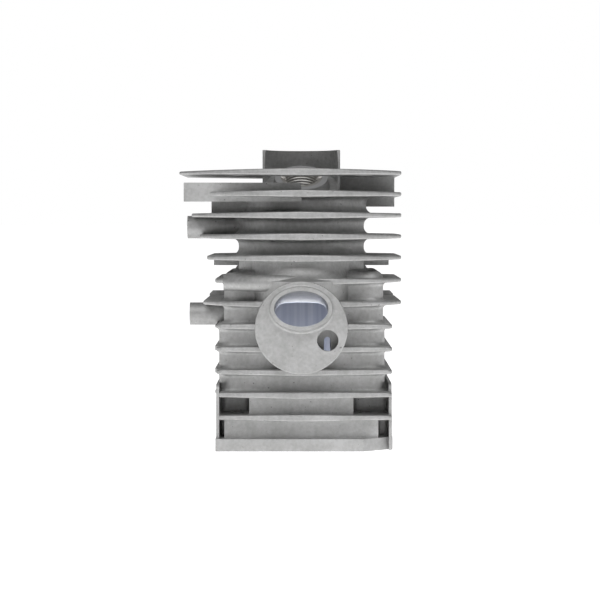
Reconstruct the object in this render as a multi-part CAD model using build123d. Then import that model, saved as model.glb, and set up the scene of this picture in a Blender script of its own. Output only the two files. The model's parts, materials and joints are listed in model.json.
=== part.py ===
from build123d import *
import math
import os

# Bare cylinder of a single-cylinder two-stroke engine, with its finned head cast in one piece.
# Origin: on the bore axis at the gasket face. +Z runs up the bore, the intake side faces -Y,
# the exhaust side faces +Y. Lengths are in millimetres and angles in degrees.

# Bore and its running sleeve
bore_diameter = 44.0
sleeve_wall = 1.5
barrel_wall = 2.6
sleeve_fit = 0.0           # the sleeve is cast in, so its outside and the casting share one radius
chamber_height = 10.3      # squish band to the roof of the combustion chamber
squish_band = 2.5

# Stack of cooling fins, counted from the lowest one
lower_fin_count = 8
upper_fin_count = 4
first_fin_height = 13.3
lower_fin_pitch = 9.15
upper_fin_pitch = 8.58
fin_thickness = 2.9        # at the parting plane of the die, x = 0
fin_draft = 0.9
fin_edge_round = 0.6
fin_corner_round = 2.5
fin_depth = 18.9           # reach of the upper fins past the barrel
fin_side_depth = 14.7      # reach of the upper fins' flat right-hand side past the barrel
fin_back_depth = 11.9      # reach of every fin towards the exhaust flange, past the barrel
crown_left_depth = 23.7    # reach of the top fin on the left, past the barrel
waist_left_depth = 8.7     # shortest left-hand reach, at the seventh fin
left_flare = 0.38          # growth of the left-hand reach for each millimetre of height
fin_corner_depth = 18.0    # how far forward the flat sides of the upper fins start
ledge_left_depth = 13.9    # left-hand reach of the fin above the lower side boss
lower_fin_front_depth = 11.9
lower_fin_side_depth = 10.4
lower_fin_left_depth = 7.9
lower_fin_corner_drop = 3.0
foot_left_depth = 8.1

# Barrel and the body that holds the transfer passages
barrel_root_round = 3.0
head_growth = 0.9
body_root_round = 1.8
body_corner_round = 6.0
body_front_depth = 3.9
body_right_depth = 7.1
body_left_depth = 5.2
skirt_right_depth = 7.7
skirt_left_depth = 7.3
shoulder_drop = 5.3
shoulder_round = 3.2

# Base flange and the two boxed bays above it
flange_thickness = 5.0
flange_left = 34.4
flange_right = 36.9
flange_front = 38.0
flange_corner_cut = 12.0
flange_corner_depth = 9.0
bay_front = 32.5
bay_upper_front = 31.0
web_thickness = 1.2
web_left_front = 35.0
web_rise = 4.2
upper_bay_half_width = 21.0
lower_bay_half_width = 31.0
upper_bay_side = 16.0
lower_bay_side = 20.0

# Base screws, M5, with the way in for a tool from the top
screw_spacing_x = 52.0
screw_spacing_y = 48.0
screw_hole_diameter = 5.5
screw_access_diameter = 8.8
screw_seat_height = 14.4

# Intake: round machined pad with a raised oval collar
intake_height = 50.2
intake_pad_diameter = 36.6
intake_reach = 50.0
collar_reach = 53.0
collar_height = 57.9
collar_tilt = 11.0
intake_port_width = 21.3
intake_port_height = 14.2
intake_window_width = 22.0
intake_window_height = 12.3
intake_window_centre = 52.1
intake_window_round = 4.5
collar_wall = 1.5
collar_root_round = 1.0
collar_edge_round = 0.5
brow_radius = 9.0
brow_half_width = 20.0
brow_sections = 6
pulse_hole_diameter = 8.4
pulse_hole_x = 10.4
pulse_hole_height = 45.2
pulse_hole_depth = 11.0
pulse_slot_width = 2.7
pulse_slot_height = 8.5
pulse_slot_rise = 0.8        # top of the slot above the middle of the hole
pulse_slot_start = 3.0       # how far inside the hole the slot begins

# Exhaust: square flange with two threaded holes
exhaust_reach = 42.0
exhaust_half_width = 27.6
exhaust_bottom = 43.5
exhaust_top_gap = 2.8      # flange top below the fifth upper fin's middle
exhaust_port_width = 28.0
exhaust_port_height = 15.5
exhaust_window_height = 11.0
exhaust_port_centre = 62.0
exhaust_window_centre = 64.0
exhaust_port_round = 5.0
exhaust_screw_spacing = 43.0
exhaust_screw_depth = 13.0

# Transfer passages, one on each side
transfer_inner_wall = 2.5
transfer_depth = 4.6
transfer_width = 20.0
transfer_window_width = 17.0
transfer_window_bottom = 56.0
transfer_window_top = 64.5

# Spark plug seat, M14 x 1.25, leaning towards the intake side
plug_tilt = 28.0
plug_seat_y = -12.0
plug_seat_drop = 1.7       # seat centre below the middle of the top fin
plug_seat_diameter = 20.8
plug_seat_edge = 0.5         # neck's rim around the seat
plug_neck_depth = 14.0
plug_neck_growth = 3.1       # how much wider the neck's radius is at its foot
plug_scoop_diameter = 30.2
plug_scoop_depth = 4.0       # the scoop's floor below the seat
plug_reach = 12.7
plug_thread_diameter = 14.0
plug_thread_pitch = 1.25
plug_insert_wall = 1.4
plug_insert_notch = 0.9
tower_half_width = 15.9
tower_top_rise = 9.6
tower_front = 14.0
tower_back = 16.0

# Threaded steel inserts for M5 screws
screw_thread_diameter = 5.0
screw_thread_pitch = 0.8
insert_wall = 0.75
insert_length = 10.0
insert_recess = 0.6

# Side bosses and ribs
side_boss_diameter = 9.4
upper_boss_height = 89.6
lower_boss_height = 53.5
upper_boss_end = 47.4
lower_boss_end = 46.5
side_boss_bore_depth = 14.0
rib_thickness = 2.0
rib_front = 31.5
rib_left = 47.2
rib_bottom_drop = 3.1
rib_top_rise = 4.5
web_back = 2.0
web_back_thickness = 3.0
web_right = 38.9
web_left = 15.0
web_foot_drop = 4.9
cheek_left = 36.8
cheek_half_depth = 15.0
rim_bead_radius = 3.35
rim_bead_inset = 2.8
rear_plate_thickness = 1.6
rear_plate_half_width = 36.5
rear_ledge_height = 2.9
rear_ledge_thickness = 2.4
rear_ledge_half_width = 40.0

# Sizes that follow from those above
sleeve_radius = bore_diameter / 2 + sleeve_wall
casting_bore_radius = sleeve_radius + sleeve_fit
barrel_radius = casting_bore_radius + barrel_wall
fin_front = barrel_radius + fin_depth
fin_right = barrel_radius + fin_side_depth
fin_back = barrel_radius + fin_back_depth
lower_front = barrel_radius + lower_fin_front_depth
lower_right = barrel_radius + lower_fin_side_depth
skirt_left = barrel_radius + skirt_left_depth
skirt_right = barrel_radius + skirt_right_depth
body_left = barrel_radius + body_left_depth
body_right = barrel_radius + body_right_depth
body_front = barrel_radius + body_front_depth
fin_count = lower_fin_count + upper_fin_count
foot_fin_count = 2
ledge_index = lower_fin_count - 3
far = 200.0


def fin_level(index):
    """Height of the middle of a fin, with 0 for the lowest."""
    last_lower = lower_fin_count - 1
    lower_steps = min(index, last_lower)
    upper_steps = max(0, index - last_lower)
    return first_fin_height + lower_steps * lower_fin_pitch + upper_steps * upper_fin_pitch


crown_level = fin_level(fin_count - 1)
waist_level = fin_level(lower_fin_count - 2)
neck_level = fin_level(lower_fin_count - 1)
shoulder_level = neck_level - shoulder_drop
plug_seat = Vector(0, plug_seat_y, crown_level - plug_seat_drop)
plug_axis = Vector(0, -math.sin(math.radians(plug_tilt)), math.cos(math.radians(plug_tilt)))
plug_bore_end = plug_seat - plug_axis * plug_reach
chamber_roof = plug_bore_end.Z - plug_insert_wall
bore_length = chamber_roof - chamber_height
collar_axis = Vector(0, -math.cos(math.radians(collar_tilt)), math.sin(math.radians(collar_tilt)))
collar_mouth = Vector(0, -collar_reach, collar_height)
exhaust_top = neck_level - exhaust_top_gap
tower_top = crown_level + tower_top_rise


def block(left, right, front, back, bottom, top):
    """Box given by its six sides."""
    middle = Pos((left + right) / 2, (front + back) / 2, (bottom + top) / 2)
    return middle * Box(right - left, back - front, top - bottom)


def rod(start, direction, length, radius):
    """Cylinder that starts at a point and runs along a direction."""
    plane = Plane(origin=start, z_dir=direction)
    return plane * Cylinder(radius, length, align=(Align.CENTER, Align.CENTER, Align.MIN))


def upright_edges(shape):
    """The straight edges of a shape that run along Z."""
    return shape.edges().filter_by(Axis.Z)


def fin_thickness_at(reach):
    """Thickness of a fin at a distance from the parting plane."""
    return fin_thickness - 2 * reach * math.tan(math.radians(fin_draft))


def half_fin(level, reach, front, corner, back):
    """The half of a fin on +X: an arched front edge, a flat side, drafted faces, round edges."""
    rise = front - corner
    radius = (reach**2 + rise**2) / (2 * rise)
    half_angle = math.asin(reach / radius) / 2
    on_arc = (radius * math.sin(half_angle), -front + radius * (1 - math.cos(half_angle)))
    arc = ThreePointArc((0, -front), on_arc, (reach, -corner))
    sides = Polyline((reach, -corner), (reach, back), (0, back), (0, -front))
    outline = make_face([arc, *sides.edges()])
    corners = outline.vertices().sort_by(Axis.X)[-2:]
    outline = fillet(corners, fin_corner_round)
    prism = Pos(0, 0, level - fin_thickness) * extrude(outline, amount=2 * fin_thickness)
    thick = fin_thickness / 2
    past = reach + fin_thickness
    thin = fin_thickness_at(past) / 2
    section = Polyline((0, thick), (past, thin), (past, -thin), (0, -thick), close=True)
    wedge = extrude(Plane.XZ * make_face(section.edges()), amount=far, both=True)
    fin = prism & (Pos(0, 0, level) * wedge)
    rim = [
        edge
        for edge in fin.edges()
        if edge.center().X > 0.01 and abs((edge % 0.5).Z) < 0.5
    ]
    return fillet(rim, fin_edge_round)


def fin(index):
    """One whole fin: two halves, drafted both ways from the parting plane."""
    level = fin_level(index)
    grown = barrel_radius + waist_left_depth + left_flare * (level - waist_level)
    left = min(barrel_radius + crown_left_depth, grown)
    right = fin_right
    front = fin_front
    if index == ledge_index:
        left = barrel_radius + ledge_left_depth
    if index < ledge_index:
        left = barrel_radius + lower_fin_left_depth
        right = lower_right
        front = lower_front
    if index < foot_fin_count:
        left = barrel_radius + foot_left_depth
    halves = []
    for reach in (right, left):
        corner = max(fin_corner_depth, math.sqrt(max(0.0, front**2 - reach**2)))
        if index < ledge_index:
            corner = front - lower_fin_corner_drop
        halves.append(half_fin(level, reach, front, corner, fin_back))
    return halves[0] + mirror(halves[1], Plane.YZ)


def groove_profile(inner, gap, root):
    """Section of the gap between two fins, with its two inner corners rounded."""
    section = Pos((inner + far) / 2, 0) * Rectangle(far - inner, gap)
    corners = section.vertices().sort_by(Axis.X)[:2]
    return fillet(corners, min(root, 0.49 * gap))


def barrel():
    """Round barrel up to the second fin, hollowed between the fins to a wide concave root."""
    bottom, top = waist_level, fin_level(fin_count - 2)
    outer = barrel_radius + head_growth + 0.9 * barrel_root_round
    profile = Pos(outer / 2, (bottom + top) / 2) * Rectangle(outer, top - bottom)
    for index in range(lower_fin_count - 1, fin_count - 2):
        low, high = fin_level(index), fin_level(index + 1)
        growth = head_growth if index > fin_count - 4 else 0.0
        gap = high - low - fin_thickness_at(barrel_radius + 3 * barrel_root_round)
        groove = groove_profile(barrel_radius + growth, gap, barrel_root_round)
        profile -= Pos(0, (low + high) / 2) * groove
    neck = waist_level + (neck_level - waist_level) / 2
    profile -= Pos(barrel_radius + far / 2, neck) * Rectangle(far, neck_level - waist_level)
    return revolve(Plane.XZ * profile, Axis.Z)


def body_outline(left, right, grow):
    """Plan of the body around the barrel and the transfer passages."""
    width = left + right + 2 * grow
    depth = 2 * (body_front + grow)
    return Pos((right - left) / 2, 0) * RectangleRounded(width, depth, body_corner_round + grow)


def body_zone(left, right, first, last):
    """Body between two fins, hollowed in each gap with rounded roots against the fins."""
    grow = 0.9 * body_root_round
    low, high = fin_level(first), fin_level(last)
    zone = Pos(0, 0, low) * extrude(body_outline(left, right, grow), amount=high - low)
    for index in range(first, last):
        gap = lower_fin_pitch - fin_thickness_at(right + 3 * body_root_round)
        middle = (fin_level(index) + fin_level(index + 1)) / 2
        plan = Rectangle(far, far) - body_outline(left, right, 0.0)
        ring = Pos(0, 0, middle - gap / 2) * extrude(plan, amount=gap)
        inner = [
            edge
            for edge in ring.edges()
            if abs((edge % 0.5).Z) < 0.5 and max(abs(edge.center().X), abs(edge.center().Y)) < far / 3
        ]
        zone -= fillet(inner, body_root_round)
    return zone


def body():
    """Body below the barrel, with the rounded shoulders over the transfer passages."""
    lower = body_zone(skirt_left, skirt_right, foot_fin_count - 1, ledge_index - 1)
    upper = body_zone(body_left, body_right, ledge_index - 1, lower_fin_count - 2)
    plan = body_outline(body_left, body_right, 0.0)
    cap = Pos(0, 0, waist_level) * extrude(plan, amount=shoulder_level - waist_level)
    cap = fillet(cap.faces().sort_by(Axis.Z)[-1].edges(), shoulder_round)
    return lower + [upper, cap]


def foot():
    """Base flange, the boxed bays over it and the thin webs that close their ends."""
    plate = block(-flange_left, flange_right, -flange_front, flange_front, 0, flange_thickness)
    for side in (-1, 1):
        section = Polyline(
            (flange_right - flange_corner_cut, side * flange_front),
            (flange_right, side * (flange_front - flange_corner_depth)),
            (flange_right + 1, side * (flange_front + 1)),
            close=True,
        )
        plate -= extrude(make_face(section.edges()), amount=flange_thickness)
    left = barrel_radius + foot_left_depth
    right = lower_right
    seat = fin_level(0)
    top = fin_level(foot_fin_count - 1)
    bays = [
        (0, seat, bay_front, lower_bay_half_width, lower_bay_side),
        (seat, top, bay_upper_front, upper_bay_half_width, upper_bay_side),
    ]
    pieces = []
    for bottom, ceiling, front, half_width, side_depth in bays:
        bay = block(-left, right, -front, front, bottom, ceiling)
        for x_side, end in ((-1, left), (1, right)):
            for y_side in (-1, 1):
                inner, outer = half_width, end - web_thickness
                x_span = sorted((x_side * inner, x_side * outer))
                y_span = sorted((y_side * side_depth, y_side * far))
                pocket = block(*x_span, *y_span, bottom, ceiling)
                round_size = min(3.0, 0.4 * (outer - inner))
                pocket = fillet(upright_edges(pocket), round_size)
                bay -= pocket
        pieces.append(bay)
    right_front = flange_front - flange_corner_depth
    for x_low, web_front in ((-left, web_left_front), (right - web_thickness, right_front)):
        web = block(x_low, x_low + web_thickness, -web_front, web_front, 0, top + web_rise)
        pieces.append(fillet(web.edges().filter_by(Axis.X).sort_by(Axis.Z)[-2:], 2.5))
    return plate + pieces


def intake():
    """Round intake pad, the oval collar that stands on it and the brow above."""
    pad_radius = intake_pad_diameter / 2
    centre = Vector(0, 0, intake_height)
    pad = rod(centre, Vector(0, -1, 0), intake_reach, pad_radius)
    pad = fillet(pad.faces().sort_by(Axis.Y)[0].edges(), 0.4)
    mouth = Plane(origin=collar_mouth, x_dir=(1, 0, 0), z_dir=collar_axis)
    half_width = intake_port_width / 2 + collar_wall
    half_height = intake_port_height / 2 + collar_wall
    collar = extrude(mouth * Ellipse(half_width, half_height), amount=-collar_reach / 2)
    boss = pad + collar
    root = [
        edge
        for edge in boss.edges()
        if abs(edge.center().Y + intake_reach) < 0.05
        and edge.length < 0.8 * math.pi * intake_pad_diameter
    ]
    boss = fillet(root, collar_root_round)
    ledge = intake_height + pad_radius - 0.2
    depth = intake_reach - 0.4 - brow_half_width
    brow = Pos(0, -brow_half_width, waist_level - brow_radius)
    brow *= extrude(Ellipse(brow_half_width, depth), amount=ledge - waist_level + brow_radius)
    sections = []
    for step in range(brow_sections):
        height = ledge + (neck_level - ledge) * step / (brow_sections - 1)
        drop = min(brow_radius, neck_level - height)
        pull = math.sqrt(brow_radius**2 - drop**2)
        plane = Plane(origin=(0, -brow_half_width, height))
        sections.append(plane * Ellipse(brow_half_width, depth - pull))
    return boss + [brow, loft(sections)]


def exhaust():
    """Exhaust flange block with the plate over it and the ledge along the fin beside it."""
    flange = block(
        -exhaust_half_width, exhaust_half_width, 0, exhaust_reach, exhaust_bottom, exhaust_top
    )
    flange = fillet(flange.edges().filter_by(Axis.Y), 3.0)
    plate = block(
        -rear_plate_half_width,
        rear_plate_half_width,
        0,
        fin_back,
        exhaust_top - rear_plate_thickness / 2,
        neck_level,
    )
    level = fin_level(ledge_index)
    ledge = block(
        -rear_ledge_half_width,
        rear_ledge_half_width,
        fin_back - rear_ledge_thickness,
        fin_back,
        level,
        level + rear_ledge_height,
    )
    top_ends = ledge.edges().filter_by(Axis.Y).sort_by(Axis.Z)[-2:]
    return flange + [plate, chamfer(top_ends, 1.4)]


def side_features():
    """Bosses for the cover screws, the ribs around the plug and the bead on the left rim."""
    left = Vector(-1, 0, 0)
    upper_boss = rod(Vector(0, 0, upper_boss_height), left, upper_boss_end, side_boss_diameter / 2)
    lower_boss = rod(Vector(0, 0, lower_boss_height), left, lower_boss_end, side_boss_diameter / 2)
    second = fin_level(fin_count - 2)
    third = fin_level(fin_count - 3)
    rib = block(
        -rib_left, 0, -rib_front, rib_thickness - rib_front, second - rib_bottom_drop,
        second + rib_top_rise,
    )
    web = block(
        web_left, web_right, web_back, web_back + web_back_thickness, second - web_foot_drop,
        crown_level,
    )
    cheek = block(-cheek_left, 0, -cheek_half_depth, cheek_half_depth, third, second)
    path_radius = fin_front - rim_bead_inset
    middle = Pos(path_radius, waist_level - 0.8) * Circle(rim_bead_radius)
    bead = revolve(Plane.XZ * middle, Axis.Z, revolution_arc=90)
    bead = bead.rotate(Axis.Z, 180)
    bead &= block(-body_left, 0, -far, 0, 0, far)
    return [upper_boss, lower_boss, rib, web, cheek, bead]


def plug_tower():
    """Block over the spark plug, above the top fin where the casting gate was sawn."""
    second = fin_level(fin_count - 2)
    tower = block(
        -tower_half_width, tower_half_width, -tower_front, tower_back, second, tower_top
    )
    return fillet(upright_edges(tower), 0.6)


def plug_neck():
    """Conical neck that carries the spark plug's seat."""
    top_radius = plug_seat_diameter / 2 + plug_seat_edge
    neck = Plane(origin=plug_seat - plug_axis * plug_neck_depth, z_dir=plug_axis)
    return neck * Cone(
        top_radius + plug_neck_growth, top_radius, plug_neck_depth,
        align=(Align.CENTER, Align.CENTER, Align.MIN),
    )


def plug_scoop():
    """Room around the seat for the plug and its socket, down to the fin below."""
    floor = plug_seat - plug_axis * plug_scoop_depth
    scoop = rod(floor, plug_axis, 60, plug_scoop_diameter / 2)
    second_top = fin_level(fin_count - 2) + fin_thickness / 2
    return scoop & block(-far, far, -far, far, second_top, far)


def combustion_chamber():
    """Bore for the sleeve and the domed chamber over it."""
    bore = Cylinder(casting_bore_radius, bore_length, align=(Align.CENTER, Align.CENTER, Align.MIN))
    rim = bore_diameter / 2 - squish_band
    ball_radius = (rim**2 + chamber_height**2) / (2 * chamber_height)
    ball = Pos(0, 0, bore_length + chamber_height - ball_radius) * Sphere(ball_radius)
    dome = ball & block(-rim, rim, -rim, rim, bore_length - 0.01, far)
    return [bore, dome]


def transfer_passage(side):
    """One transfer passage: up the side of the bore, then over into it through a window."""
    inner = casting_bore_radius + transfer_inner_wall
    outer = inner + transfer_depth
    turn = transfer_window_top - transfer_window_bottom
    outline = [
        Line((inner, 0), (outer, 0)),
        Line((outer, 0), (outer, transfer_window_top - turn)),
        RadiusArc((outer, transfer_window_top - turn), (outer - turn, transfer_window_top), -turn),
        Line((outer - turn, transfer_window_top), (0, transfer_window_top)),
        Line((0, transfer_window_top), (0, transfer_window_bottom)),
        Line((0, transfer_window_bottom), (inner, transfer_window_bottom)),
        Line((inner, transfer_window_bottom), (inner, 0)),
    ]
    section = Plane.XZ * make_face(outline)
    passage = extrude(section, amount=transfer_width / 2, both=True)
    narrow = block(
        0, inner, -transfer_window_width / 2, transfer_window_width / 2, 0, far
    ) + block(inner, far, -far, far, 0, far)
    passage &= narrow
    return passage if side > 0 else mirror(passage, Plane.YZ)


def intake_passage():
    """Oval passage from the collar down to the window in the bore."""
    mouth = Plane(origin=collar_mouth, x_dir=(1, 0, 0), z_dir=collar_axis)
    oval = mouth * Ellipse(intake_port_width / 2, intake_port_height / 2)
    inside = Plane(
        origin=(0, -0.4 * bore_diameter, intake_window_centre), x_dir=(1, 0, 0), z_dir=(0, -1, 0)
    )
    window = RectangleRounded(intake_window_width, intake_window_height, intake_window_round)
    return loft([inside * window, oval]) + extrude(oval, amount=intake_port_height)


def exhaust_passage():
    """Passage from the wide, low window in the bore to the taller opening in the flange."""
    inner = Plane(
        origin=(0, 0.3 * bore_diameter, exhaust_window_centre), x_dir=(1, 0, 0), z_dir=(0, 1, 0)
    )
    outer = Plane(
        origin=(0, exhaust_reach + 1, exhaust_port_centre), x_dir=(1, 0, 0), z_dir=(0, 1, 0)
    )
    window = RectangleRounded(exhaust_port_width, exhaust_window_height, exhaust_port_round)
    opening = RectangleRounded(exhaust_port_width, exhaust_port_height, exhaust_port_round)
    return loft([inner * window, outer * opening])


def pulse_passage():
    """Blind round hole in the intake pad with a slot through to the bore."""
    mouth = Vector(pulse_hole_x, -intake_reach, pulse_hole_height)
    hole = rod(mouth, Vector(0, 1, 0), pulse_hole_depth, pulse_hole_diameter / 2)
    slot = block(
        pulse_hole_x - pulse_slot_width / 2,
        pulse_hole_x + pulse_slot_width / 2,
        -intake_reach + pulse_slot_start,
        -0.4 * bore_diameter,
        pulse_hole_height + pulse_slot_rise - pulse_slot_height,
        pulse_hole_height + pulse_slot_rise,
    )
    return [hole, fillet(slot.edges().filter_by(Axis.Y), 0.49 * pulse_slot_width)]


def base_screw_ways():
    """Base screw holes, and over each the way in for the screw's head and its tool."""
    ways = []
    for place in GridLocations(screw_spacing_x, screw_spacing_y, 2, 2):
        start = Vector(place.position.X, place.position.Y, 0)
        up = Vector(0, 0, 1)
        ways.append(rod(start, up, screw_seat_height, screw_hole_diameter / 2))
        seat = start + up * screw_seat_height
        ways.append(rod(seat, up, far, screw_access_diameter / 2))
    return ways


def insert_places():
    """Mouth and outward direction of each screw insert, by node name."""
    half = exhaust_screw_spacing / 2
    exhaust_way, left = Vector(0, 1, 0), Vector(-1, 0, 0)
    return {
        "exhaust_thread_inserts": [
            (Vector(x, exhaust_reach, exhaust_port_centre), exhaust_way, exhaust_screw_depth)
            for x in (-half, half)
        ],
        "side_boss_thread_inserts": [
            (Vector(-upper_boss_end, 0, upper_boss_height), left, side_boss_bore_depth),
            (Vector(-lower_boss_end, 0, lower_boss_height), left, side_boss_bore_depth),
        ],
    }


def threaded_bush(mouth, axis, length, nominal, pitch, wall):
    """Steel bush, bored to the crests of its thread and countersunk at the mouth."""
    crest = nominal / 2 - 0.54 * pitch
    bush = rod(mouth - axis * length, axis, length, nominal / 2 + wall)
    bush -= rod(mouth - axis * length, axis, length, crest)
    sink = Plane(origin=mouth - axis * (nominal / 2 - crest), z_dir=axis)
    sink *= Cone(crest, nominal / 2, nominal / 2 - crest, align=(Align.CENTER, Align.CENTER, Align.MIN))
    return bush - sink


def screw_insert(mouth, axis):
    """Bush for an M5 screw, set in a little below the face."""
    start = mouth - axis * insert_recess
    return threaded_bush(
        start, axis, insert_length, screw_thread_diameter, screw_thread_pitch, insert_wall
    )


def plug_insert():
    """Bush for the spark plug, with two driving notches in its mouth."""
    bush = threaded_bush(
        plug_seat, plug_axis, plug_reach, plug_thread_diameter, plug_thread_pitch, plug_insert_wall
    )
    mouth = Plane(origin=plug_seat, x_dir=(1, 0, 0), z_dir=plug_axis)
    notch = mouth * Box(2 * plug_thread_diameter, plug_insert_notch, 2 * plug_insert_notch)
    return bush - notch


def port_windows():
    """Everything that opens through the wall of the bore."""
    return [
        intake_passage(),
        exhaust_passage(),
        transfer_passage(1),
        transfer_passage(-1),
        *pulse_passage(),
    ]


def casting():
    """The aluminium casting, with every hole, passage and seat cut."""
    fins = [fin(index) for index in range(fin_count)]
    solid = barrel() + [body(), foot(), intake(), exhaust(), *fins]
    solid += [*side_features(), plug_tower()]
    solid -= plug_scoop()
    solid += plug_neck()
    insert_radius = plug_thread_diameter / 2 + plug_insert_wall
    plug_hole = [
        rod(plug_bore_end, plug_axis, plug_reach + 1, insert_radius),
        rod(plug_bore_end - plug_axis * 6, plug_axis, 7, insert_radius - 1.0),
    ]
    cuts = [*combustion_chamber(), *port_windows(), *base_screw_ways(), *plug_hole]
    for places in insert_places().values():
        for mouth, axis, depth in places:
            radius = screw_thread_diameter / 2 + insert_wall
            cuts.append(rod(mouth - axis * insert_length - axis * insert_recess, axis, far, radius))
            tap = screw_thread_diameter / 2
            cuts.append(rod(mouth - axis * depth, axis, depth, tap))
    solid -= cuts
    return solid.solids().sort_by(SortBy.VOLUME)[-1]


def sleeve():
    """Hard running sleeve of the bore, with its port windows."""
    outside = Cylinder(sleeve_radius, bore_length, align=(Align.CENTER, Align.CENTER, Align.MIN))
    inside = Cylinder(bore_diameter / 2, bore_length, align=(Align.CENTER, Align.CENTER, Align.MIN))
    return outside - [inside, *port_windows()]


os.makedirs("parts", exist_ok=True)
nodes = {
    "cylinder_casting": casting(),
    "bore_sleeve": sleeve(),
    "spark_plug_thread_insert": plug_insert(),
}
for name, places in insert_places().items():
    nodes[name] = Compound(children=[screw_insert(mouth, axis) for mouth, axis, _ in places])
for name, node in nodes.items():
    export_step(node, f"parts/{name}.step")
    print(name, len(node.solids()), round(sum(solid.volume for solid in node.solids())))
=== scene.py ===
"""Finish of a bare two-stroke cylinder: blasted casting, honed bore and steel thread bushes."""
import json
import logging
import math
from dataclasses import dataclass
from enum import Enum
from typing import Any

import bmesh
import bpy
from mathutils import Matrix, Vector


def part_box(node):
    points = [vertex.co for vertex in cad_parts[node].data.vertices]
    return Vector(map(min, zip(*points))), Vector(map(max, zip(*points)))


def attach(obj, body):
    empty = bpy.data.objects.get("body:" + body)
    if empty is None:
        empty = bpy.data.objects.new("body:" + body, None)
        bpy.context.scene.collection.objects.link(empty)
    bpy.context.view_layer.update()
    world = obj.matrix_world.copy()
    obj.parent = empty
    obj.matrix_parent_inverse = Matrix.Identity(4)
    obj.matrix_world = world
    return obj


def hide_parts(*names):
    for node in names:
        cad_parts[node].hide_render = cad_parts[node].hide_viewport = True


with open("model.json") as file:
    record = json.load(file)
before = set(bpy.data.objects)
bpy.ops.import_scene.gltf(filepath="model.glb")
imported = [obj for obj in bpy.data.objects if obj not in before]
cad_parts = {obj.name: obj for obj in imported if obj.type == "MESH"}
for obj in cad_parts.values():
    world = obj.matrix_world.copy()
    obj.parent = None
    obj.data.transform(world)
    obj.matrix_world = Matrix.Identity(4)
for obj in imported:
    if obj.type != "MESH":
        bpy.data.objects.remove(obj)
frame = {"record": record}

LOG = logging.getLogger("cylinder")
MM = 0.001
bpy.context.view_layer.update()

PLUG_DEPTH = 6.0 * MM  # the plug hole's mount lies this far below its seat
SEAT_REACH = 10.8 * MM  # takes in the plug's 20.8 mm seat with a small margin
BOSS_STEP = 0.9 * MM  # the lower side boss ends this much short of the upper one
WAVE_TURN = math.tau / 20  # spacing of the wave texture's bands at a scale of 1
SHARP_ANGLE = 25.0  # degrees between two faces from which their edge stays sharp

CREST_DROP = 0.54  # depth of the thread and ends of its parts, as shares of the pitch
CREST_END = 0.125
FLANK_END = 0.5
ROOT_END = 0.625
MOUTH_MARGIN = 1.01  # takes in the foot of the countersink when the notches are cut


class Metal(Enum):
    """The metals that the cylinder is made of."""

    CASTING = "cast_aluminium"
    BORE = "honed_hard_bore"
    STEEL = "insert_steel"


def linear(code: str) -> tuple[float, float, float, float]:
    """Turn an sRGB hex colour into linear values.

    Args:
        code: Colour as "#rrggbb".

    Returns:
        Linear red, green and blue, and full opacity.
    """
    channels = [int(code[place:place + 2], 16) / 255 for place in (1, 3, 5)]
    steps = [c / 12.92 if c <= 0.04045 else ((c + 0.055) / 1.055) ** 2.4 for c in channels]
    return (*steps, 1.0)


def add_object(name: str, data: bpy.types.ID) -> bpy.types.Object:
    """Add an object to the scene.

    Args:
        name: Name of the object.
        data: Its mesh, light or camera.

    Returns:
        The new object.
    """
    thing = bpy.data.objects.new(name, data)
    bpy.context.scene.collection.objects.link(thing)
    return thing


def add_node(tree: bpy.types.NodeTree, kind: str, inputs: dict | None = None,
             **settings: Any) -> bpy.types.Node:
    """Add one node with its inputs and its settings.

    Args:
        tree: Node tree to add to.
        kind: Blender's name for the kind of node.
        inputs: By input name or number, a value to set or an output socket to link.
        settings: Attributes to set on the node.

    Returns:
        The new node.
    """
    node = tree.nodes.new(kind)
    for name, value in settings.items():
        setattr(node, name, value)
    for name, source in (inputs or {}).items():
        if isinstance(source, bpy.types.NodeSocket):
            tree.links.new(source, node.inputs[name])
        else:
            node.inputs[name].default_value = source
    return node


def compute(tree: bpy.types.NodeTree, operation: str, *values: Any) -> bpy.types.NodeSocket:
    """Add a math node.

    Args:
        tree: Node tree to add to.
        operation: Blender's name for the operation.
        values: Its inputs in order, as numbers or sockets.

    Returns:
        The result.
    """
    return add_node(tree, "ShaderNodeMath", dict(enumerate(values)),
                    operation=operation).outputs[0]


def remap(tree: bpy.types.NodeTree, value: bpy.types.NodeSocket,
          source: tuple[float, float] = (0.0, 1.0), target: tuple[float, float] = (0.0, 1.0),
          **settings: Any) -> bpy.types.NodeSocket:
    """Carry a value from one range to another.

    Args:
        tree: Node tree to add to.
        value: The value.
        source: Range that it comes from.
        target: Range that it goes to.
        settings: Attributes to set on the node.

    Returns:
        The value in the target range.
    """
    return add_node(tree, "ShaderNodeMapRange", {
        "Value": value, "From Min": source[0], "From Max": source[1], "To Min": target[0],
        "To Max": target[1]}, **settings).outputs[0]


def noise(tree: bpy.types.NodeTree, place: bpy.types.NodeSocket, size_mm: float,
          detail: float = 2.0, roughness: float = 0.5) -> bpy.types.NodeSocket:
    """Add noise with features of one size.

    Args:
        tree: Node tree to add to.
        place: Coordinates to read it at.
        size_mm: Size of its features in millimetres.
        detail: How many finer layers are added.
        roughness: Strength of the finer layers.

    Returns:
        The noise.
    """
    return add_node(tree, "ShaderNodeTexNoise", {
        "Vector": place, "Scale": 1 / (size_mm * MM), "Detail": detail,
        "Roughness": roughness}).outputs["Fac"]


def mix_values(tree: bpy.types.NodeTree, share: bpy.types.NodeSocket, first: Any,
               second: Any) -> bpy.types.NodeSocket:
    """Mix two values, each a number or a socket.

    Args:
        tree: Node tree to add to.
        share: How much of the second is taken.
        first: Value where the share is 0.
        second: Value where the share is 1.

    Returns:
        The mixed value.
    """
    return add_node(tree, "ShaderNodeMix", {0: share, 2: first, 3: second}).outputs[0]


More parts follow.
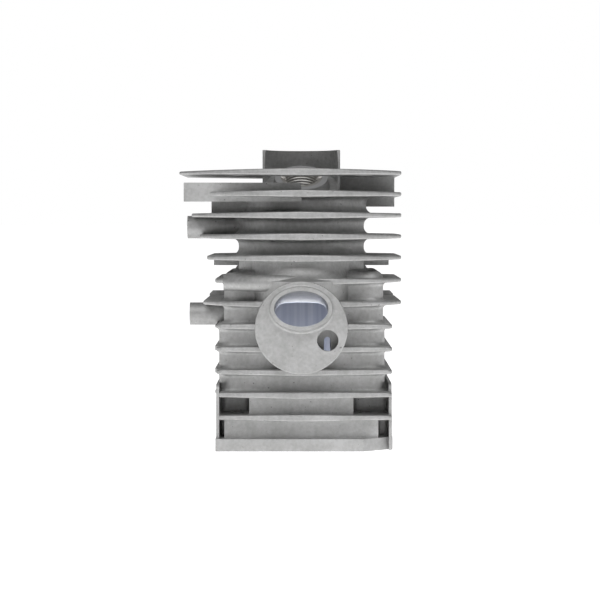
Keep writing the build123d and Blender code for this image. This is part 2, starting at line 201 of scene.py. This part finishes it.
def mix_colours(tree: bpy.types.NodeTree, share: bpy.types.NodeSocket, first: Any,
                second: Any) -> bpy.types.NodeSocket:
    """Mix two colours, each a linear colour or a socket.

    Args:
        tree: Node tree to add to.
        share: How much of the second is taken.
        first: Colour where the share is 0.
        second: Colour where the share is 1.

    Returns:
        The mixed colour.
    """
    return add_node(tree, "ShaderNodeMix", {0: share, 6: first, 7: second},
                    data_type="RGBA").outputs[2]


def bump(tree: bpy.types.NodeTree, height: bpy.types.NodeSocket, height_mm: float,
         strength: float, **under: bpy.types.NodeSocket) -> bpy.types.NodeSocket:
    """Turn a height pattern into a normal.

    Args:
        tree: Node tree to add to.
        height: The pattern.
        height_mm: Its height in millimetres.
        strength: Share of the height that shows.
        under: The coarser normal that it lies on, as Normal.

    Returns:
        The normal.
    """
    return add_node(tree, "ShaderNodeBump", {
        "Strength": strength, "Distance": height_mm * MM, "Height": height,
        **under}).outputs[0]


def blank_material(name: str) -> tuple[bpy.types.Material, bpy.types.NodeTree]:
    """Make a material with an empty node tree.

    Args:
        name: Name of the material.

    Returns:
        The material and its tree.
    """
    material = bpy.data.materials.new(name)
    material.use_nodes = True
    material.node_tree.nodes.clear()
    return material, material.node_tree


def surface(tree: bpy.types.NodeTree, inputs: dict) -> None:
    """End a material's tree with its shader and its output.

    Args:
        tree: Node tree to add to.
        inputs: Values and sockets of the shader by input name.
    """
    shader = add_node(tree, "ShaderNodeBsdfPrincipled", inputs)
    add_node(tree, "ShaderNodeOutputMaterial", {"Surface": shader.outputs[0]})


@dataclass(frozen=True)
class MachinedZones:
    """Where the casting was cut after it was cast, as flat planes in its own frame."""

    seat: Vector
    seat_axis: Vector
    base_height: float
    exhaust_reach: float
    tower_top: float
    tolerance_mm: float = 0.06

    def mask(self, tree: bpy.types.NodeTree,
             place: bpy.types.NodeSocket) -> bpy.types.NodeSocket:
        """Make a value that is 1 on a machined face and 0 on the cast skin.

        Args:
            tree: Node tree to add to.
            place: Object coordinates.

        Returns:
            The mask's output socket.
        """
        slack = self.tolerance_mm * MM
        offset = add_node(tree, "ShaderNodeVectorMath", {0: place, 1: self.seat},
                          operation="SUBTRACT").outputs[0]
        height = add_node(tree, "ShaderNodeVectorMath", {0: offset, 1: self.seat_axis},
                          operation="DOT_PRODUCT").outputs["Value"]
        reach = add_node(tree, "ShaderNodeVectorMath", {0: offset},
                         operation="LENGTH").outputs["Value"]
        whole = compute(tree, "MULTIPLY", compute(tree, "COMPARE", height, 0.0, slack),
                        compute(tree, "LESS_THAN", reach, SEAT_REACH))
        split = add_node(tree, "ShaderNodeSeparateXYZ", {"Vector": place})
        for axis, level in (("Z", self.base_height), ("Y", self.exhaust_reach),
                            ("Z", self.tower_top)):
            face = compute(tree, "COMPARE", split.outputs[axis], level, slack)
            whole = compute(tree, "MAXIMUM", whole, face)
        return whole


@dataclass(frozen=True)
class BlastedDieCastAluminium:
    """Die-cast aluminium, bead blasted: matt mid grey, fine tooth, faint stains, small pits."""

    zones: MachinedZones
    tone: str = "#c9c9c9"
    dark_tone: str = "#b0b0af"
    pit_tone: str = "#858483"
    cut_tone: str = "#cfcfd0"
    roughness: float = 0.6
    roughness_spread: float = 0.06
    cut_roughness: float = 0.55
    tooth_mm: float = 0.35
    tooth_height_mm: float = 0.05
    tooth_strength: float = 0.6
    ripple_mm: float = 6.0
    ripple_height_mm: float = 0.12
    ripple_strength: float = 0.5
    stain_mm: float = 14.0
    speck_mm: float = 1.6
    mottle_range: tuple[float, float] = (0.75, 1.25)
    pit_mm: float = 1.1
    pit_range: tuple[float, float] = (0.75, 0.80)
    cut_line_mm: float = 4.4
    cut_line_wobble: float = 0.6

    def build(self) -> bpy.types.Material:
        """Make the material.

        Returns:
            The finished material.
        """
        material, tree = blank_material("blasted_die_cast_aluminium")
        place = add_node(tree, "ShaderNodeTexCoord").outputs["Object"]
        cut = self.zones.mask(tree, place)
        colour, speck = self.colours(tree, place, cut)
        rough = remap(tree, speck, target=(self.roughness - self.roughness_spread,
                                           self.roughness + self.roughness_spread))
        surface(tree, {
            "Metallic": 1.0, "Base Color": colour,
            "Roughness": mix_values(tree, cut, rough, self.cut_roughness),
            "Normal": self.relief(tree, place, cut)})
        return material

    def colours(self, tree: bpy.types.NodeTree, place: bpy.types.NodeSocket,
                cut: bpy.types.NodeSocket) -> tuple[bpy.types.NodeSocket, bpy.types.NodeSocket]:
        """Mottle the cast skin, drop small pits in it and brighten the machined faces.

        Args:
            tree: Node tree to add to.
            place: Object coordinates.
            cut: Mask of the machined faces.

        Returns:
            The colour and the fine speck pattern.
        """
        stain = noise(tree, place, self.stain_mm, 5.0, 0.6)
        speck = noise(tree, place, self.speck_mm, 3.0, 0.7)
        mottle = remap(tree, compute(tree, "ADD", stain, speck), self.mottle_range)
        pits = remap(tree, noise(tree, place, self.pit_mm, 1.0), self.pit_range)
        skin = mix_colours(tree, mottle, linear(self.dark_tone), linear(self.tone))
        pitted = mix_colours(tree, pits, skin, linear(self.pit_tone))
        return mix_colours(tree, cut, pitted, linear(self.cut_tone)), speck

    def relief(self, tree: bpy.types.NodeTree, place: bpy.types.NodeSocket,
               cut: bpy.types.NodeSocket) -> bpy.types.NodeSocket:
        """Blasted tooth over a slow casting ripple, and tool lines on the machined faces.

        Args:
            tree: Node tree to add to.
            place: Object coordinates.
            cut: Mask of the machined faces.

        Returns:
            The normal.
        """
        lines = add_node(tree, "ShaderNodeTexWave", {
            "Vector": place, "Scale": WAVE_TURN / (self.cut_line_mm * MM),
            "Distortion": self.cut_line_wobble}, bands_direction="X").outputs["Fac"]
        tooth = noise(tree, place, self.tooth_mm, 2.0, 0.6)
        swell = bump(tree, noise(tree, place, self.ripple_mm), self.ripple_height_mm,
                     self.ripple_strength)
        return bump(tree, mix_values(tree, cut, tooth, lines), self.tooth_height_mm,
                    self.tooth_strength, Normal=swell)


@dataclass(frozen=True)
class HonedHardBore:
    """Hard bore lining, honed: a cool steel grey with soft upright bands and a fine grain."""

    tone: str = "#d4d6dc"
    band_tone: str = "#bbbfca"
    roughness: float = 0.45
    band_mm: float = 2.4
    band_range: tuple[float, float] = (0.35, 0.65)
    hone_mm: float = 0.5
    hone_height_mm: float = 0.01
    hone_strength: float = 0.3
    upright_stretch: float = 0.02

    def build(self) -> bpy.types.Material:
        """Make the material.

        Returns:
            The finished material.
        """
        material, tree = blank_material("honed_hard_bore")
        place = add_node(tree, "ShaderNodeTexCoord").outputs["Object"]
        upright = add_node(tree, "ShaderNodeMapping", {
            "Vector": place, "Scale": (1.0, 1.0, self.upright_stretch)}).outputs[0]
        bands = remap(tree, noise(tree, upright, self.band_mm, 3.0), self.band_range)
        surface(tree, {
            "Metallic": 1.0, "Roughness": self.roughness,
            "Base Color": mix_colours(tree, bands, linear(self.band_tone), linear(self.tone)),
            "Normal": bump(tree, noise(tree, place, self.hone_mm), self.hone_height_mm,
                           self.hone_strength)})
        return material


@dataclass(frozen=True)
class TurnedBushSteel:
    """Free-cutting steel: a slightly warm light grey with a fine grain."""

    tone: str = "#cfcdc9"
    dark_tone: str = "#b7b4af"
    roughness: float = 0.46
    roughness_spread: float = 0.08
    grain_mm: float = 0.4

    def build(self) -> bpy.types.Material:
        """Make the material.

        Returns:
            The finished material.
        """
        material, tree = blank_material("turned_bush_steel")
        place = add_node(tree, "ShaderNodeTexCoord").outputs["Object"]
        grain = noise(tree, place, self.grain_mm)
        surface(tree, {
            "Metallic": 1.0,
            "Base Color": mix_colours(tree, grain, linear(self.dark_tone), linear(self.tone)),
            "Roughness": remap(tree, grain, target=(self.roughness - self.roughness_spread,
                                                    self.roughness + self.roughness_spread))})
        return material


@dataclass(frozen=True)
class BushSize:
    """Size of one kind of thread bush, in metres."""

    length: float
    nominal: float
    pitch: float
    wall: float
    notch: float = 0.0
    notch_half_width: float = 0.0

    @property
    def root(self) -> float:
        """Radius of the thread's roots."""
        return self.nominal / 2

    @property
    def crest(self) -> float:
        """Radius of the thread's crests."""
        return self.nominal / 2 - CREST_DROP * self.pitch


PLUG_BUSH = BushSize(length=12.7 * MM, nominal=14.0 * MM, pitch=1.25 * MM, wall=1.4 * MM,
                     notch=0.9 * MM, notch_half_width=0.6 * MM)
SCREW_BUSH = BushSize(length=10.0 * MM, nominal=5.0 * MM, pitch=0.8 * MM, wall=0.75 * MM)


@dataclass(frozen=True)
class ThreadedBush:
    """Steel bushes of one size with the ridges of their thread, for one node of the frame.

    The ridges are closed rings, which stand in for the helix of the real thread.
    """

    node: str
    mouths: list[Vector]
    axis: Vector
    size: BushSize
    steps: int = 96

    def profile(self) -> list[tuple[float, float]]:
        """Work out the section of the wall: outside, mouth, countersink and thread.

        Returns:
            Radius and height below the mouth of each corner, in order round the section.
        """
        size = self.size
        outer = size.root + size.wall
        corners = [(outer, -size.length), (outer, 0.0), (size.root, 0.0)]
        height = -(size.root - size.crest)
        while height - size.pitch > -size.length:
            corners += [(size.crest, height), (size.crest, height - CREST_END * size.pitch),
                        (size.root, height - FLANK_END * size.pitch),
                        (size.root, height - ROOT_END * size.pitch)]
            height -= size.pitch
        return corners + [(size.crest, height), (size.crest, -size.length)]

    def build(self, finish: bpy.types.Material) -> bpy.types.Object:
        """Spin the section into a bush at each mouth and stand it in for the node.

        Args:
            finish: Material of the bushes.

        Returns:
            The finished piece.
        """
        mesh = bmesh.new()
        turn = Vector((0, 0, 1)).rotation_difference(self.axis).to_matrix().to_4x4()
        for mouth in self.mouths:
            self.spin(mesh, Matrix.Translation(mouth) @ turn)
        bmesh.ops.recalc_face_normals(mesh, faces=mesh.faces)
        data = bpy.data.meshes.new(f"{self.node}_threaded")
        mesh.to_mesh(data)
        mesh.free()
        data.shade_smooth()
        data.set_sharp_from_angle(angle=math.radians(SHARP_ANGLE))
        data.materials.append(finish)
        piece = add_object(f"{self.node}_threaded", data)
        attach(piece, "root")
        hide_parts(self.node)
        LOG.info("built %s: %d bushes, %d faces", piece.name, len(self.mouths),
                 len(data.polygons))
        return piece

    def spin(self, mesh: bmesh.types.BMesh, place: Matrix) -> None:
        """Add one bush and cut the notches in its mouth.

        Args:
            mesh: Mesh to add it to.
            place: Turn and place of the bush, with its mouth at the origin and its axis up.
        """
        size = self.size
        start = [mesh.verts.new((radius, 0.0, height)) for radius, height in self.profile()]
        edges = [mesh.edges.new((start[i - 1], start[i])) for i in range(len(start))]
        before = set(mesh.verts) - set(start)
        bmesh.ops.spin(mesh, geom=start + edges, cent=(0, 0, 0), axis=(0, 0, 1),
                       angle=2 * math.pi, steps=self.steps, use_merge=True)
        made = [vert for vert in mesh.verts if vert not in before]
        for vert in made:
            inside = math.hypot(vert.co.x, vert.co.y) < size.root + size.wall / 2
            at_mouth = vert.co.z > -MOUTH_MARGIN * (size.root - size.crest)
            if inside and at_mouth and abs(vert.co.y) < size.notch_half_width:
                vert.co.z -= size.notch
        bmesh.ops.transform(mesh, matrix=place, verts=made)


@dataclass(frozen=True)
class SoftLight:
    """A rectangular light: where it stands, its turn about X in degrees, size and watts.

    A turn of 0 shines down, 90 along +Y and 180 up.
    """

    name: str
    place: tuple[float, float, float]
    turn: float
    size: tuple[float, float]
    power: float

    def build(self) -> None:
        """Add the light, which the camera doesn't see."""
        light = bpy.data.lights.new(self.name, "AREA")
        light.shape = "RECTANGLE"
        light.size, light.size_y = self.size
        light.energy = self.power
        lamp = add_object(self.name, light)
        lamp.location = self.place
        lamp.rotation_euler = (math.radians(self.turn), 0.0, 0.0)
        lamp.visible_camera = False


@dataclass(frozen=True)
class Studio:
    """White floor that lights the fins from below, the soft lights, the backdrop and the camera."""

    distance: float = 0.825
    eye_height: float = 0.0926
    look_down: float = 2.32
    pan: float = 0.038
    lens: float = 118.5
    sensor: float = 36.0
    sight: float = 100.0
    floor_size: float = 30.0
    floor_tone: str = "#e6e6e6"
    floor_roughness: float = 0.95
    glow_span: tuple[float, float] = (-0.85, -0.36)
    glow_range: tuple[float, float] = (0.12, 0.95)
    sky_span: tuple[float, float] = (0.0, 0.7)
    sky_range: tuple[float, float] = (0.10, 0.22)
    lights: tuple[SoftLight, ...] = (
        SoftLight("high_front_softbox", (0.0, -1.3, 1.5), 42.0, (2.0, 1.0), 20.0),
        SoftLight("bore_fill", (0.0, 0.0, 0.002), 180.0, (0.03, 0.03), 0.016),
    )

    def build(self) -> None:
        """Make the floor, the lights, the world and the camera."""
        bpy.context.scene.view_settings.view_transform = "Standard"
        self.floor()
        self.world()
        for light in self.lights:
            light.build()
        self.camera()

    def floor(self) -> None:
        """Make the white floor, which throws soft light up under the fins."""
        mesh = bmesh.new()
        bmesh.ops.create_grid(mesh, x_segments=1, y_segments=1, size=self.floor_size)
        data = bpy.data.meshes.new("floor")
        mesh.to_mesh(data)
        mesh.free()
        material, tree = blank_material("white_paper_floor")
        place = add_node(tree, "ShaderNodeTexCoord").outputs["Object"]
        split = add_node(tree, "ShaderNodeSeparateXYZ", {"Vector": place})
        glow = remap(tree, split.outputs["Y"], self.glow_span, self.glow_range,
                     interpolation_type="SMOOTHSTEP")
        surface(tree, {
            "Base Color": linear(self.floor_tone), "Roughness": self.floor_roughness,
            "Specular IOR Level": 0.0, "Emission Color": linear("#ffffff"),
            "Emission Strength": glow})
        data.materials.append(material)
        floor = add_object("floor", data)

    def world(self) -> None:
        """Make a backdrop that looks white and whose light grows from the horizon up."""
        world = bpy.data.worlds.new("surround")
        world.use_nodes = True
        tree = world.node_tree
        tree.nodes.clear()
        direction = add_node(tree, "ShaderNodeTexCoord").outputs["Generated"]
        height = add_node(tree, "ShaderNodeSeparateXYZ", {"Vector": direction})
        light = remap(tree, height.outputs["Z"], self.sky_span, self.sky_range)
        seen = add_node(tree, "ShaderNodeLightPath").outputs["Is Camera Ray"]
        sky = add_node(tree, "ShaderNodeBackground", {
            "Color": linear("#ffffff"), "Strength": mix_values(tree, seen, light, 1.0)})
        add_node(tree, "ShaderNodeOutputWorld", {"Surface": sky.outputs[0]})
        bpy.context.scene.world = world

    def camera(self) -> None:
        """Add the camera at the viewing angle of a catalogue front view."""
        data = bpy.data.cameras.new("camera")
        data.lens = self.lens
        data.sensor_width = self.sensor
        data.clip_end = self.sight
        camera = add_object("camera", data)
        camera.location = (0.0, -self.distance, self.eye_height)
        camera.rotation_euler = (
            math.radians(90 - self.look_down), 0.0, math.radians(self.pan))
        bpy.context.scene.camera = camera


def mount(name: str) -> dict:
    """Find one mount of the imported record.

    Args:
        name: Name of the mount.

    Returns:
        The mount's entry.
    """
    return next(entry for entry in frame["record"]["mounts"] if entry["name"] == name)


def plug_seat() -> tuple[Vector, Vector]:
    """Work out where the plug's seat lies from the plug hole's mount.

    Returns:
        The middle of the seat and its axis.
    """
    plug = mount("spark_plug_hole")
    axis = Vector(plug["axis"])
    return Vector(plug["pos_m"]) + axis * PLUG_DEPTH, axis


def machined_zones() -> MachinedZones:
    """Read the machined faces from the frame's mounts and the casting's box.

    Returns:
        The zones.
    """
    seat, seat_axis = plug_seat()
    return MachinedZones(
        seat=seat, seat_axis=seat_axis, base_height=0.0,
        exhaust_reach=mount("exhaust_face")["pos_m"][1],
        tower_top=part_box("cylinder_casting")[1][2])


def bushes() -> list[ThreadedBush]:
    """Set out the bushes from the mounts that they serve.

    Returns:
        The plug's bush, the exhaust pair and the side-boss pair.
    """
    seat, seat_axis = plug_seat()
    exhaust = mount("exhaust_screws")
    middle, half = Vector(exhaust["pos_m"]), exhaust["dims"]["spacing_x_mm"] * MM / 2
    side_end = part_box("side_boss_thread_inserts")[0][0]
    side = [Vector((side_end + step, 0.0, mount(boss)["pos_m"][2]))
            for boss, step in (("upper_cover_boss", 0.0), ("lower_cover_boss", BOSS_STEP))]
    return [
        ThreadedBush("spark_plug_thread_insert", [seat], seat_axis, PLUG_BUSH),
        ThreadedBush(
            "exhaust_thread_inserts", [middle + Vector((x, 0.0, 0.0)) for x in (-half, half)],
            Vector((0.0, 1.0, 0.0)), SCREW_BUSH),
        ThreadedBush("side_boss_thread_inserts", side, Vector((-1.0, 0.0, 0.0)), SCREW_BUSH),
    ]


def dress_nodes(finishes: dict[Metal, bpy.types.Material]) -> None:
    """Give every CAD node the finish of its metal.

    Args:
        finishes: The material of each metal.
    """
    slots = {part["node"]: part["material_slot"] for part in frame["record"]["subparts"]}
    for node, slot in slots.items():
        piece = bpy.data.objects[node]
        piece.data.materials.clear()
        piece.data.materials.append(finishes[Metal(slot)])
        LOG.info("dressed %s as %s", node, slot)


def main() -> None:
    """Build the finishes, dress the cylinder and set the studio."""
    logging.basicConfig(level=logging.INFO)
    finishes = {
        Metal.CASTING: BlastedDieCastAluminium(machined_zones()).build(),
        Metal.BORE: HonedHardBore().build(),
        Metal.STEEL: TurnedBushSteel().build(),
    }
    dress_nodes(finishes)
    for bush in bushes():
        bush.build(finishes[Metal.STEEL])
    Studio().build()


if __name__ == "__main__":
    main()
